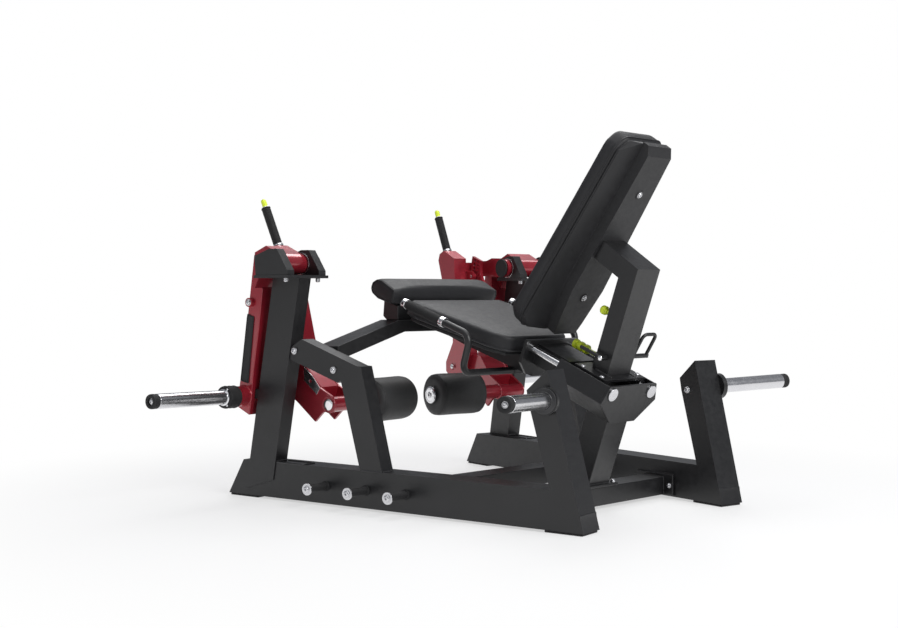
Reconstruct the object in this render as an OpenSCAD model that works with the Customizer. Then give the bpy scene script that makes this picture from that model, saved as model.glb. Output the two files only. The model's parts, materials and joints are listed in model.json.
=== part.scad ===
// Plate-loaded leg extension machine with two independent arms, standing on z = 0.
// +X is the seated user's left, -Y is the way the user faces, +Z is up.
// The side frames splay: each is drawn in its own frame (n outwards, t rearwards, z up)
// and then turned by the splay angle. The right side mirrors the left.

/* [Frame] */
// Angle each side frame is turned out towards the front, in degrees
splay = 9.6; // [9:0.1:10.2]
// Distance from the centre plane to the outer face of a side rail, along its normal
rail_out = 586; // [580:1:592]
// Width of the side rails and rear posts
rail_width = 100; // [96:1:104]
// Height of the top of the side rails above the floor
rail_top = 132; // [128:1:136]
// Width of the front posts, struts and braces
post_width = 60; // [56:1:62]
// Thickness of the rubber foot pads
foot_thickness = 8; // [6:1:10]

/* [Pivot] */
// Rearward position of the pivot axis in the side frame plane
pivot_t = -270; // [-272:1:-268]
// Height of the pivot axis
pivot_z = 825; // [823:1:828]
// Radius of the pivot tube
pivot_radius = 28; // [26:0.5:30]
// Radial running clearance of the pivot bearings and bushes
clearance = 0.05; // [0.02:0.01:0.09]

/* [Plate sleeves] */
// Radius of the sleeves that take the weight plates
sleeve_radius = 25; // [24:0.5:25.5]
// Length of the free part of an arm sleeve
arm_sleeve_length = 312; // [290:1:330]
// Length of the free part of a storage sleeve
storage_sleeve_length = 268; // [240:1:280]

/* [Seat] */
// Slope of the seat pad, in degrees
seat_slope = 17.3; // [16.5:0.1:18]
// Length of the seat pad along its slope
seat_length = 428; // [410:1:435]
// Thickness of the seat pad
seat_thickness = 60; // [50:1:62]
// Half width of the thigh bolster
bolster_half_width = 268; // [250:1:272]

/* [Backrest] */
// Recline of the backrest from vertical, in degrees
recline = 34.6; // [34:0.1:35]
// Length of the backrest pad
back_length = 728; // [700:1:732]
// Slope of the guide rods, in degrees
rod_slope = 22.3; // [22:0.1:22.6]
// Radius of the guide rods
rod_radius = 12.5; // [12:0.5:13]

/* [Rollers] */
// Radius of the foam rollers
roller_radius = 80; // [70:1:82]
// Length of the foam rollers
roller_length = 210; // [190:1:212]

/* [Hidden] */
centring_y = -226;  // moves the model so that its footprint is centred on the origin
rail_in = rail_out - rail_width;
post_out = rail_out + 4;
post_in = post_out - post_width;
strut_in = rail_out - post_width;
pivot = [pivot_t, pivot_z];

steel_black = [0.08, 0.08, 0.085];
red = [0.55, 0.03, 0.06];
chrome = [0.85, 0.85, 0.87];
rubber = [0.05, 0.05, 0.05];
vinyl = [0.12, 0.12, 0.13];
lime = [0.8, 0.95, 0.1];

// ---- placing helpers; s = 1 is the left side (+X), s = -1 the right ----------
module place() translate([0, centring_y, 0]) children();
module hand(s) mirror([s < 0 ? 1 : 0, 0, 0]) children();
module side(s) place() hand(s) rotate([0, 0, splay]) children();
module both_sides() for (s = [1, -1]) side(s) children();

// ---- shape helpers -----------------------------------------------------------
// a (t, z) or (y, z) profile made into a slab across n or x
module slab(from, to) {
    translate([from, 0, 0]) rotate([90, 0, 90]) linear_extrude(to - from) children();
}
// an (x, z) profile extruded forwards from y
module extrude_forward(y, depth) {
    translate([0, y, 0]) rotate([90, 0, 0]) linear_extrude(depth) children();
}
// cylinder along n or x; point is its axis as [t, z]
module rod_n(from, to, radius, point = [0, 0], segments = 64) {
    translate([from, point[0], point[1]]) rotate([0, 90, 0])
        cylinder(r = radius, h = to - from, $fn = segments);
}
// cylinder along z
module rod_z(from, to, radius, segments = 48) {
    translate([0, 0, from]) cylinder(r = radius, h = to - from, $fn = segments);
}
// bent round bar: each length or quarter bend carries its children on its far end
module straight(length, radius) {
    rod_z(0, length, radius);
    translate([0, 0, length]) children();
}
module bend(bend_radius, radius, roll) rotate([0, 0, roll]) {
    translate([bend_radius, 0, 0]) rotate([90, 0, 180]) rotate_extrude(angle = 90, $fn = 96)
        translate([bend_radius, 0]) circle(r = radius, $fn = 48);
    translate([bend_radius, 0, bend_radius]) rotate([0, 90, 0]) children();
}

// ---- side frames: profiles are [t, z] ----------------------------------------
post_depth = 122;
post_top = 774;
block_base = post_top + 10;     // top of the plate under the bearing blocks
function post_rear(z) = -324 + (z - 136) * 0.1768;

storage_flange_end = 22;
module storage_frame() translate([rail_out, 775, 398]) rotate([0, -2, 9]) children();

module rail_profile() {
    polygon([[-480, rail_top], [-552, foot_thickness], [897, foot_thickness],
        [890, 60], [790, rail_top]]);
}
module front_post_profile() {
    polygon([[post_rear(70), 70], [post_rear(31) - post_depth, 31],
        [post_rear(post_top) - post_depth, post_top], [post_rear(post_top), post_top]]);
}
module rear_post_profile() {
    polygon([[775, 490], [902, foot_thickness], [860, foot_thickness],
        [786, 131], [712, 385], [704, 427]]);
}
module strut_profile() {
    polygon([[55, rail_top - 10], [148, rail_top - 10], [56, 478],
        [39, 479], [-33, 504], [-31, 430]]);
}
// brace from front post to strut, trimmed to both
module brace_profile() difference() {
    polygon([[-300, 508], [-205, 564], [39, 479], [-43, 420], [-280, 501]]);
    polygon([[post_rear(70), 70], [-700, 70], [-700, 900], [post_rear(900), 900]]);
    polygon([[-38, 300], [-20, 600], [200, 600], [200, 300]]);
    strut_profile();
}
module top_plate_profile() {
    front = post_rear(post_top) - post_depth - 3;
    rear = post_rear(post_top) + 38;
    polygon([[front, post_top], [front, block_base], [rear, block_base], [rear, post_top]]);
}
// flange of the storage sleeve, cut flush with the rear post's outer face
module storage_flange() difference() {
    storage_frame() rod_n(-30, storage_flange_end, 44);
    translate([rail_out - 200, 0, 0]) cube([200 - 0.001, 1200, 800]);
}
module side_frame() {
    difference() {
        slab(rail_in, rail_out) rail_profile();
        // V groove along the underside, beside the outer edge
        translate([rail_out - 17, -700, foot_thickness - 17]) rotate([0, -45, 0])
            cube([24, 1700, 24]);
    }
    slab(rail_in, rail_out) rear_post_profile();
    // the front post stands slightly proud of the rail
    slab(post_in, post_out) front_post_profile();
    slab(strut_in, rail_out) strut_profile();
    slab(482, 684) top_plate_profile();
    storage_flange();
}
module left_side_frame() { color(steel_black) side(1) side_frame(); }
module right_side_frame() { color(steel_black) side(-1) side_frame(); }
module upper_braces() {
    color(steel_black) both_sides() slab(strut_in, rail_out) brace_profile();
}

// ---- crossmembers ------------------------------------------------------------
cross_z = 12;
cross_height = 63;
cross_top = cross_z + cross_height;
flange_in = rail_in - 10;       // inner face of the end flanges

// the space inboard of the plane n = limit of the left side frame
module inboard(limit) {
    rotate([0, 0, splay]) translate([limit - 3000, -2000, -100]) cube([3000, 4000, 2000]);
}
module between_sides(limit) intersection() {
    children();
    inboard(limit);
    mirror([1, 0, 0]) inboard(limit);
}
module crossmember(y, flange_t, flange_length) {
    place() between_sides(flange_in) translate([-600, y, cross_z])
        cube([1200, 100, cross_height]);
    both_sides() translate([flange_in, flange_t, cross_z])
        cube([rail_in - flange_in, flange_length, 74]);
}
module front_crossmember() {
    color(steel_black) crossmember(y = 135, flange_t = 4, flange_length = 182);
}
module rear_crossmember() {
    color(steel_black) crossmember(y = 607, flange_t = 500, flange_length = 180);
}

// ---- guide rods and their housing --------------------------------------------
// In the rod frame y runs rearwards down the slope and z is normal to it;
// its origin is at the rear end of the rods.
rod_x = 102;
rod_length = 384;
rod_bracket = 12;               // thickness of the bracket at the front ends
housing_length = 217;
end_plate = 8;
housing_depth = 106;            // from the rods down to the housing's underside

// [x, z] outlines of the housing and of the hollow in it
housing_outline = [[65, -housing_depth], [145, -32], [123, 27],
    [-123, 27], [-145, -32], [-65, -housing_depth]];
housing_hollow = [[60, -96], [134, -28], [114, 40], [-114, 40], [-134, -28], [-60, -96]];

module rod_frame() translate([0, 841, 397]) rotate([-rod_slope, 0, 0]) children();
module on_rods() place() rod_frame() children();
// cylinder on the axis of the rod on side s
module rod_along(s, y, radius, length) {
    translate([s * rod_x, y, 0]) rotate([-90, 0, 0]) cylinder(r = radius, h = length, $fn = 64);
}

module guide_housing() {
    color(steel_black) on_rods() extrude_forward(-end_plate, housing_length) difference() {
        polygon(housing_outline);
        polygon(housing_hollow);
    }
}
module housing_end_plate() {
    color(steel_black) on_rods() extrude_forward(0, end_plate) difference() {
        polygon(housing_outline);
        for (s = [1, -1]) translate([s * rod_x, 0]) circle(r = rod_radius, $fn = 64);
    }
}
module guide_rods() {
    color(chrome) on_rods() for (s = [1, -1]) rod_along(s, -rod_length, rod_radius, rod_length);
}
module rear_column() {
    color(steel_black) {
        place() difference() {
            slab(-55, 55) polygon([[605, 85], [705, 85], [810, 377], [710, 377]]);
            // cut to the underside of the housing
            rod_frame() translate([-500, -600, -housing_depth]) cube([1000, 1000, 1000]);
        }
        place() translate([-90, 595, cross_top]) cube([180, 122, 10]);
    }
}

// ---- seat support ------------------------------------------------------------
beam_y = -12;                   // rear face of the front beam
seat_base_thickness = 14;
seat_origin = [0, 36, 701];     // front top edge of the pad
brace_plate_in = strut_in - 8;  // inner face of the plates bolted to the braces

// in the seat frame y runs rearwards down the slope and z is normal to it
module seat_frame() place() translate(seat_origin) rotate([-seat_slope, 0, 0]) children();
// top of the spine, just under the seat base
function spine_top(y) = seat_origin[2] - 0.02
    - (seat_thickness + seat_base_thickness) / cos(seat_slope)
    - tan(seat_slope) * (y - seat_origin[1]);

module seat_front_beam() {
    color(steel_black) {
        place() between_sides(brace_plate_in) extrude_forward(beam_y, 102)
            polygon([[-560, 480], [-560, 531], [-238, 626], [238, 626],
                [560, 531], [560, 480], [212, 584], [-212, 584]]);
        both_sides() slab(brace_plate_in, strut_in)
            polygon([[-216, 481], [-216, 551], [-96, 513], [-96, 440]]);
    }
}
module seat_spine() {
    color(steel_black) {
        // spine, cut off at the front bracket of the guide rods
        place() difference() {
            slab(-40, 40) polygon([[beam_y, 623], [beam_y, 586], [120, 536.3], [520, 411.3],
                [520, spine_top(520)], [seat_origin[1], spine_top(seat_origin[1])]]);
            rod_frame() translate([-500, -rod_length, -500]) cube([1000, 1000, 1000]);
        }
        // bracket that holds the front ends of the guide rods
        on_rods() difference() {
            translate([-132, -rod_length, -100]) cube([264, rod_bracket, 126]);
            for (s = [1, -1]) rod_along(s, -400, rod_radius, 40);
            for (s = [1, -1]) translate([s * 145, -400, -100]) rotate([0, s * 45, 0])
                cube([80, 100, 80], center = true);
        }
        // box between bracket and housing, below the carriage
        on_rods() translate([-70, rod_bracket - rod_length, -60])
            cube([140, rod_length - rod_bracket - housing_length - end_plate, 72]);
    }
}

// ---- seat and thigh bolster --------------------------------------------------
// [x, y] in the seat frame
module seat_outline(inset, length) {
    polygon([[-238 + inset, inset], [238 - inset, inset], [241 - inset, 60],
        [183 - inset, length - 60], [150 - inset, length - inset],
        [-150 + inset, length - inset], [-183 + inset, length - 60], [-241 + inset, 60]]);
}
module seat_pad() {
    color(vinyl) seat_frame() translate([0, 0, -seat_thickness])
        linear_extrude(seat_thickness) seat_outline(0, seat_length);
}
module seat_base() {
    color(rubber) seat_frame() translate([0, 0, -seat_thickness - seat_base_thickness])
        linear_extrude(seat_base_thickness) seat_outline(14, seat_length - 4);
}
module bolster_bracket() {
    color(steel_black) place() translate([0, beam_y, 0]) slab(-236, 236)
        polygon([[-92, 640], [-74, 626], [-12, 626], [-12, 677], [-86, 697.5]]);
}
module thigh_bolster() {
    color(vinyl) place() translate([0, beam_y, 0]) slab(-bolster_half_width, bolster_half_width)
        polygon([[-87, 777], [-60, 770], [8, 734], [6, 715], [-9, 678],
            [-86, 699.4], [-118, 722], [-125, 742], [-115, 765]]);
}

// ---- seat grips: one bent tube, with a grip each side and a run under the seat
grip_x = 280;
grip_length = 302;
grip_drop = 55;
grip_bend = 40;
grip_radius = 12;
sleeve_start = 18;              // the rubber sleeve's ends, from the tube's upper end
sleeve_end = 194;
ferrule_radius = 17.5;

// z runs down each grip from its upper end
module on_grips() {
    place() for (s = [1, -1]) hand(s) translate([grip_x, 57, 688])
        rotate([-108.35, 0, 0]) children();
}
module grip_ring(from, to, radius) difference() {
    rod_z(from, to, radius);
    rod_z(from - 1, to + 1, grip_radius + 0.02);
}
module grip_tubes() {
    half_run = grip_x - grip_bend;
    color(steel_black) on_grips()
        straight(grip_length, grip_radius) bend(grip_bend, grip_radius, 90)
        straight(grip_drop, grip_radius) bend(grip_bend, grip_radius, 90) {
            rod_z(0, half_run, grip_radius);
            // half of the clamp that joins the two bars under the seat
            rod_z(half_run - 25, half_run, 14.5);
        }
}
module grip_sleeves() { color(rubber) on_grips() grip_ring(sleeve_start, sleeve_end, 16); }
module grip_ferrules() {
    color(chrome) on_grips() {
        grip_ring(0, sleeve_start, ferrule_radius);
        grip_ring(sleeve_end, sleeve_end + 20, ferrule_radius);
    }
}

// ---- bearings ----------------------------------------------------------------
// n at the inner and outer face of each block
inner_block = [483, 519];
outer_block = [646, 682];
bearing_radius = 40;

module bearing_block(block) {
    slab(block[0], block[1]) polygon([[-336, 850], [-268, 873], [-232, 873],
        [-184, 800], [-184, block_base], [-330, block_base]]);
}
module bearing_blocks() {
    color(steel_black) both_sides() {
        difference() {
            bearing_block(inner_block);
            rod_n(480, 522, bearing_radius, pivot);
        }
        // the outer block is closed on its outer face
        difference() {
            bearing_block(outer_block);
            rod_n(640, 674, bearing_radius, pivot);
        }
    }
}
module pivot_bearings() {
    color(chrome) both_sides() for (span = [inner_block, [outer_block[0], 672]]) difference() {
        rod_n(span[0], span[1], bearing_radius, pivot);
        rod_n(span[0] - 1, span[1] + 1, pivot_radius + clearance, pivot);
    }
}

// ---- plate storage, pegs, bumpers, bolts and feet ----------------------------
peg_ts = [-98, 76, 242];
peg_z = 68;
peg_end = rail_out + 92;
arm_sleeve_start = 54;

// [t, z] of the bolts through the braces, and t of those in the crossmember flanges
brace_bolts = [[-236, 523], [-61, 463]];
flange_bolt_ts = [17, 173, 512, 668];

// rear face of the lower part of a weight arm
function arm_rear(z) = -436 + (z - 294) * 0.1288;

module storage_sleeves() {
    color(chrome) both_sides() storage_frame()
        rod_n(storage_flange_end, storage_flange_end + storage_sleeve_length, sleeve_radius);
}
// cap along z with a recess in its outer end
module end_cap() difference() {
    rod_z(0, 24, sleeve_radius - 0.4, 64);
    rod_z(18, 28, 12);
}
module storage_end_caps() {
    color(rubber) both_sides() storage_frame()
        translate([storage_flange_end + storage_sleeve_length, 0, 0])
        rotate([0, 90, 0]) end_cap();
}
module band_pegs() {
    color(rubber) both_sides() for (t = peg_ts) rod_n(rail_out, peg_end, 13, [t, peg_z]);
}
// blocks on the front posts, trimmed to the post and the rear of the weight arm
module arm_bumpers() {
    color(rubber) both_sides() difference() {
        translate([post_in + 5, -428, 350]) cube([post_width - 10, 40, 34]);
        slab(post_in - 5, post_out + 5) front_post_profile();
        slab(400, 700) polygon([[-500, 300], [arm_rear(300) + 0.6, 300],
            [arm_rear(420) + 0.6, 420], [-500, 420]]);
    }
}
module frame_bolts() {
    color(chrome) {
        both_sides() {
            for (point = brace_bolts) rod_n(rail_out, rail_out + 6, 12, point);
            // under the top plate, below the middle of each bearing block
            for (block = [inner_block, outer_block])
                translate([(block[0] + block[1]) / 2, -205, post_top - 10])
                    cylinder(r = 8, h = 10, $fn = 32);
            // discs on the band pegs
            for (t = peg_ts) rod_n(peg_end, peg_end + 5, 20, [t, peg_z]);
            // storage sleeve bolt on the inner face of the rear post
            rod_n(rail_in - 7, rail_in, 12, [745, 388]);
            for (t = flange_bolt_ts) rod_n(flange_in - 7, flange_in, 9, [t, 48]);
        }
        // column base bolts and guide rod end caps
        place() for (x = [-75, 75]) for (y = [606, 706])
            translate([x, y, cross_top + 10]) cylinder(r = 9, h = 6, $fn = 32);
        on_rods() for (s = [1, -1]) rod_along(s, 0, 22, 6);
    }
}
module floor_feet() {
    foot_width = rail_width - 8;
    color(rubber) both_sides() {
        translate([rail_in + 4, -547, 0]) cube([foot_width, 133, foot_thickness]);
        translate([rail_in + 4, 765, 0]) cube([foot_width, 132, foot_thickness]);
    }
}

// ---- backrest and its carriage -----------------------------------------------
carriage_y = -175;
carriage_length = 135;
carriage_top = 32;
pad_thickness = 62;
shell_back = 140;   // depth from the front of the pad to the back of the central channel
shaft_radius = 8;
plunger_radius = 7;
loop_radius = 6;
loop_bend = 18;

// z runs up the pad and y rearwards from its front face
module back_frame() place() translate([0, 430, 647]) rotate([-recline, 0, 0]) children();
// x is the axis of the release lever's cross shaft
module shaft_frame() place() translate([0, 782, 512]) children();
// z is the axis of the pull knob
module knob_frame() place() translate([36, 788.7, 655]) rotate([70.2, 0, 0]) children();

module back_carriage() {
    color(steel_black) on_rods() {
        // bush on each rod
        for (s = [1, -1]) difference() {
            union() {
                rod_along(s, carriage_y, 20, carriage_length);
                translate([s * 96 - 12, carriage_y, 0]) cube([24, carriage_length, 22]);
            }
            rod_along(s, -200, rod_radius + clearance, 200);
        }
        // plate across the bushes, and an upright tab at its front
        translate([-108, carriage_y, 22]) cube([216, carriage_length, carriage_top - 22]);
        translate([-44, carriage_y, carriage_top]) cube([60, 8, 38]);
    }
}
module backrest_post() {
    color(steel_black) difference() {
        place() slab(-60, 60) polygon([[718, 458], [830.6, 771.6], [722, 845],
            [759, 900], [910, 798], [780, 437]]);
        on_rods() translate([-200, -500, -200]) cube([400, 700, 200 + carriage_top]);
        back_frame() translate([-200, -100, 0]) cube([400, 100 + shell_back, 800]);
        // bore for the lever's cross shaft
        shaft_frame() rod_n(-100, 100, shaft_radius + clearance, segments = 48);
        // blind bore for the pull knob's plunger
        knob_frame() rod_z(-32, 48, plunger_radius + clearance);
    }
}
// [x, z] in the backrest frame; half widths are 161 low down and 121 near the top
module backrest_outline(inset) {
    low = 161;
    high = 121;
    top = back_length;
    polygon([[-low + 40 + inset, inset], [low - 40 - inset, inset], [low - inset, 45],
        [high - inset, top - 40], [high - 30 - inset, top - inset],
        [-high + 30 + inset, top - inset], [-high + inset, top - 40], [-low + inset, 45]]);
}
module backrest_pad() {
    color(vinyl) back_frame() extrude_forward(pad_thickness, pad_thickness) backrest_outline(0);
}
// [x, z] of the raised channel on the back of the shell
channel_top = 741;
module channel_outline(top) {
    half_width = 61 + (channel_top - top) * 0.038;
    polygon([[-55, 20], [55, 20], [64, 60], [82, 195], [half_width, top],
        [-half_width, top], [-82, 195], [-64, 60]]);
}
module backrest_shell() {
    color(rubber) back_frame() {
        hull() {
            extrude_forward(pad_thickness + 8, 8) backrest_outline(3);
            extrude_forward(100, 1) polygon([[-66, 14], [66, 14], [86, 185],
                [66, 736], [-66, 736], [-86, 185]]);
        }
        hull() {
            extrude_forward(122, 24) channel_outline(channel_top);
            extrude_forward(shell_back, 1) channel_outline(712);
        }
    }
}
// travel buffer in front of the carriage: three rings, two necks and a stem
module travel_buffer() {
    color(lime) on_rods() translate([-14, -291, 50]) rotate([-90, 0, 0]) {
        for (z = [0, 24, 48]) rod_z(z, z + 14, 16);
        for (z = [14, 38]) rod_z(z, z + 10, 10);
        rod_z(62, 116, 8.5);
    }
}
// release lever: cross shaft, hand loop on the right, crank on the left
module release_lever() {
    color(steel_black) shaft_frame() {
        rod_n(-160, 92, shaft_radius, segments = 48);
        translate([-84, 0, 0]) rotate([-32, 0, 0]) rotate([0, 0, 180])
            straight(68, loop_radius) bend(loop_bend, loop_radius, 0)
            straight(34, loop_radius) bend(loop_bend, loop_radius, 0)
            rod_z(0, 68, loop_radius);
        translate([84, 0, 0]) rotate([90 - rod_slope, 0, 0]) rod_z(0, 92, loop_radius);
    }
}
module pull_knob() {
    color(lime) knob_frame() {
        rod_z(-30, 18, plunger_radius);
        rod_z(18, 24, 11);
        rod_z(24, 42, 14);
    }
}

// ---- weight arms: profiles are [t, z] ----------------------------------------
arm_in = 482;
arm_out = 605;
tube_in = 457;
tube_out = 671;
sector_in = 412;
sector_out = 424;
hole_ring = 128;                // radius of the outer row of selector holes
small_hole_ring = 104;
pin_radius = 6;

// point at a radius from the pivot; the angle is measured up from straight forwards
function polar(radius, angle) =
    [pivot_t - radius * cos(angle), pivot_z + radius * sin(angle)];
pin_point = polar(hole_ring, -15);

// z is the axis of the plate sleeve, which tilts up a little towards its end
module sleeve_frame() {
    translate([648, -461, 359]) rotate([0, -1.2, 0]) rotate([0, 90, 0]) children();
}
module arm_profile() {
    polygon([[-408, 857], [-437, 657], [-475, 421], [-495, 322], [-436, 294],
        [-415, 457], [-391, 596], [-372, 740], [-372, 868]]);
}
// head that joins the arm to the pivot tube
module head_profile() difference() {
    union() {
        polygon([[-400, 852], [-320, 886], [-258, 858], [-250, 800], [-345, 794], [-373, 740]]);
        translate(pivot) circle(r = 36, $fn = 64);
    }
    translate(pivot) circle(r = pivot_radius, $fn = 64);
    polygon([[-372.5, 700], [-372.5, 868], [-420, 880], [-520, 880], [-520, 700]]);
}
module weight_arm() {
    slab(arm_in, arm_out) arm_profile();
    slab(525, 640) head_profile();
    // thin strip that bridges arm and head
    slab(525, arm_out) polygon([[-372.6, 742], [-372.6, 866], [-371, 866], [-371, 742]]);
    // sleeve flange and cover boss
    rod_n(604, 640, 36, [-461, 359]);
    sleeve_frame() rod_z(-14, 2, 34, 64);
    rod_n(604, 616, 16, [-426, 690]);
}
module arm_panel() {
    slab(arm_out, arm_out + 4) polygon([[-440, 650], [-474, 412], [-436, 404], [-408, 640]]);
}
module arm_sleeve() {
    sleeve_frame()
        rod_z(arm_sleeve_start, arm_sleeve_start + arm_sleeve_length, sleeve_radius, 64);
}
module arm_collar() { sleeve_frame() rod_z(2, arm_sleeve_start, 39, 64); }
module arm_end_cap() {
    sleeve_frame() translate([0, 0, arm_sleeve_start + arm_sleeve_length]) end_cap();
    // cover of the pivot's inner end
    rod_n(tube_in - 6, tube_in, 37, pivot);
}
module pivot_tube() difference() {
    rod_n(tube_in, tube_out, pivot_radius, pivot);
    rod_n(tube_in - 1, tube_out + 1, pivot_radius - 8, pivot);
}
// sector with two rows of holes, centred on the pivot and carried by the weight arm
module sector_plate() {
    difference() {
        slab(sector_in, sector_out) difference() {
            intersection() {
                translate(pivot) circle(r = 150, $fn = 96);
                polygon([polar(70, -46), polar(230, -46), polar(230, -20),
                    polar(230, 0), polar(230, 20), polar(70, 20)]);
            }
            translate(pivot) circle(r = 88, $fn = 96);
        }
        for (a = [-30:7.5:15]) rod_n(400, 440, 6.7, polar(hole_ring, a));
        for (a = [-37.5:7.5:15]) rod_n(400, 440, 4, polar(small_hole_ring, a));
    }
    // leg and spacer to the weight arm
    slab(sector_in, sector_out)
        polygon([polar(125, -44), polar(149, -44), [-418, 712], [-418, 684], [-388, 684]]);
    slab(sector_out, arm_in) polygon([[-418, 712], [-418, 684], [-388, 684], [-388, 712]]);
}

// ---- roller levers: profiles are [t, z] --------------------------------------
bar_in = 331;
bar_out = 391;
cheek_in = 361;                 // inner faces of the two lower cheeks
cheek_out = 464;
cheek_thickness = 10;
lever_out = cheek_out + cheek_thickness;
bar_foot = [-435, 422];
axle = [-177, 333];
axle_radius = 12;
roller_in = 50;
lever_grip_origin = [361, -517, 893];
lever_grip_tilt = 24;
button_top = 187;
button_radius = 10;

// the bar's upper end is square to the grip, just under it
bar_end = [lever_grip_origin[1], lever_grip_origin[2] - 0.02];
bar_end_half = 16.6 * [cos(lever_grip_tilt), sin(lever_grip_tilt)];

module lever_grip_frame() {
    translate(lever_grip_origin) rotate([lever_grip_tilt, 0, 0]) children();
}
module bar_profile() {
    polygon([bar_end - bar_end_half, bar_end + bar_end_half,
        [-428, 866], [-426, 805], [-360, 537], [-345, 470], [-372, 400], [-435, 372],
        [-485, 400], [-486, 438], [-438, 520], [-438, 537], [-531, 829], [-541, 860]]);
    translate(bar_foot) circle(r = 50, $fn = 64);
}
module link_profile() {
    polygon([[-478, 800], [-478, 846], [-430, 856], [-270, 859], [-270, 789], [-420, 794]]);
    translate(pivot) circle(r = 36, $fn = 64);
}
module cheek_profile() {
    polygon([[-430, 480], [-290, 470], [-223, 392], [-165, 362], [-148, 335],
        [-162, 306], [-204, 306], [-242, 270], [-327, 337], [-425, 396]]);
}
module lever() difference() {
    union() {
        slab(bar_in, bar_out) bar_profile();
        // cross box and link plate to the pivot
        slab(bar_out, 462) polygon([[-478, 800], [-478, 846], [-430, 850], [-430, 800]]);
        slab(462, 478) link_profile();
        // boss of the selector pin
        slab(bar_out, 402) polygon([[-440, 765], [-440, 812], [-385, 812],
            [-378, 792], [-385, 776], [-415, 765]]);
        rod_n(402, 410, 14, pin_point);
        // lower bracket: two cheeks and a box between them
        for (n = [cheek_in, cheek_out]) slab(n, n + cheek_thickness) cheek_profile();
        slab(cheek_in + cheek_thickness, cheek_out) polygon([[-425, 476], [-300, 466],
            [-222, 392], [-236, 350], [-320, 352], [-400, 402]]);
        // boss of the roller axle
        rod_n(264, lever_out, 27, axle);
    }
    rod_n(450, 490, pivot_radius + clearance, pivot);
    rod_n(386, 430, pin_radius + clearance, pin_point);
    rod_n(250, 480, axle_radius, axle);
    // shallow recess in the inner face of the bar's foot
    rod_n(325, 334, 14, bar_foot);
}
module scale_plate() {
    slab(lever_out, lever_out + 3) difference() {
        polygon([[-292, 462], [-250, 428], [-218, 388], [-232, 366], [-292, 414]]);
        translate([-262, 412]) circle(r = 6, $fn = 48);
    }
}
// axle with a disc on each end
module roller_axle() {
    rod_n(44, lever_out, axle_radius, axle);
    rod_n(38, 44, 33, axle);
    rod_n(lever_out, lever_out + 6, 20, axle);
}
module roller() difference() {
    rod_n(roller_in, roller_in + roller_length, roller_radius, axle);
    rod_n(roller_in - 10, roller_in + 10 + roller_length, axle_radius + clearance, axle);
}
module lever_grip() {
    lever_grip_frame() difference() {
        rod_z(0, 162, 16);
        rod_z(115, 175, 10.3);
    }
}
// button with a domed top
module push_button() {
    lever_grip_frame() {
        rod_z(135, button_top, button_radius);
        intersection() {
            translate([0, 0, button_top]) sphere(r = button_radius, $fn = 32);
            translate([-20, -20, button_top]) cube([40, 40, 20]);
        }
    }
}
module selector_pin() { rod_n(389, 425, pin_radius, pin_point); }

// ---- left and right arm nodes ------------------------------------------------
module left_pivot_tube() { color(red) side(1) pivot_tube(); }
module left_weight_arm() { color(red) side(1) weight_arm(); }
module left_arm_panel() { color(rubber) side(1) arm_panel(); }
module left_arm_sleeve() { color(chrome) side(1) arm_sleeve(); }
module left_arm_collar() { color(rubber) side(1) arm_collar(); }
module left_arm_end_cap() { color(rubber) side(1) arm_end_cap(); }
module left_sector_plate() { color(red) side(1) sector_plate(); }
module left_lever() { color(red) side(1) lever(); }
module left_scale_plate() { color(chrome) side(1) scale_plate(); }
module left_roller_axle() { color(chrome) side(1) roller_axle(); }
module left_lever_grip() { color(rubber) side(1) lever_grip(); }
module left_push_button() { color(lime) side(1) push_button(); }
module left_selector_pin() { color(chrome) side(1) selector_pin(); }
module left_roller() { color(vinyl) side(1) roller(); }
module right_pivot_tube() { color(red) side(-1) pivot_tube(); }
module right_weight_arm() { color(red) side(-1) weight_arm(); }
module right_arm_panel() { color(rubber) side(-1) arm_panel(); }
module right_arm_sleeve() { color(chrome) side(-1) arm_sleeve(); }
module right_arm_collar() { color(rubber) side(-1) arm_collar(); }
module right_arm_end_cap() { color(rubber) side(-1) arm_end_cap(); }
module right_sector_plate() { color(red) side(-1) sector_plate(); }
module right_lever() { color(red) side(-1) lever(); }
module right_roller_axle() { color(chrome) side(-1) roller_axle(); }
module right_lever_grip() { color(rubber) side(-1) lever_grip(); }
module right_push_button() { color(lime) side(-1) push_button(); }
module right_selector_pin() { color(chrome) side(-1) selector_pin(); }
module right_roller() { color(vinyl) side(-1) roller(); }

left_side_frame();
right_side_frame();
upper_braces();
front_crossmember();
rear_crossmember();
seat_front_beam();
seat_spine();
rear_column();
guide_housing();
housing_end_plate();
guide_rods();
seat_base();
seat_pad();
bolster_bracket();
thigh_bolster();
grip_tubes();
grip_sleeves();
grip_ferrules();
bearing_blocks();
pivot_bearings();
storage_sleeves();
storage_end_caps();
band_pegs();
arm_bumpers();
frame_bolts();
floor_feet();
back_carriage();
backrest_post();
backrest_shell();
backrest_pad();
travel_buffer();
release_lever();
pull_knob();
left_pivot_tube();
left_weight_arm();
left_arm_panel();
left_arm_sleeve();
left_arm_collar();
left_arm_end_cap();
left_sector_plate();
left_lever();
left_scale_plate();
left_roller_axle();
left_lever_grip();
left_push_button();
left_selector_pin();
left_roller();
right_pivot_tube();
right_weight_arm();
right_arm_panel();
right_arm_sleeve();
right_arm_collar();
right_arm_end_cap();
right_sector_plate();
right_lever();
right_roller_axle();
right_lever_grip();
right_push_button();
right_selector_pin();
right_roller();
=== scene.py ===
"""Looks of a plate-loaded seated training machine, built over its CAD pieces.

Row frame: +Z up, floor at z = 0, +X the sitter's left, -Y the way the sitter faces.
The two side frames are splayed. Their own axes are "out" (away from the middle),
"along" (towards the back) and z. Places given to the *_mm, side_* and screw helpers
are in millimetres; everything else is in metres.
"""
import json
import math
import random
from contextlib import contextmanager

import bmesh
import bpy
import numpy as np
from mathutils import Matrix, Vector


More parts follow.
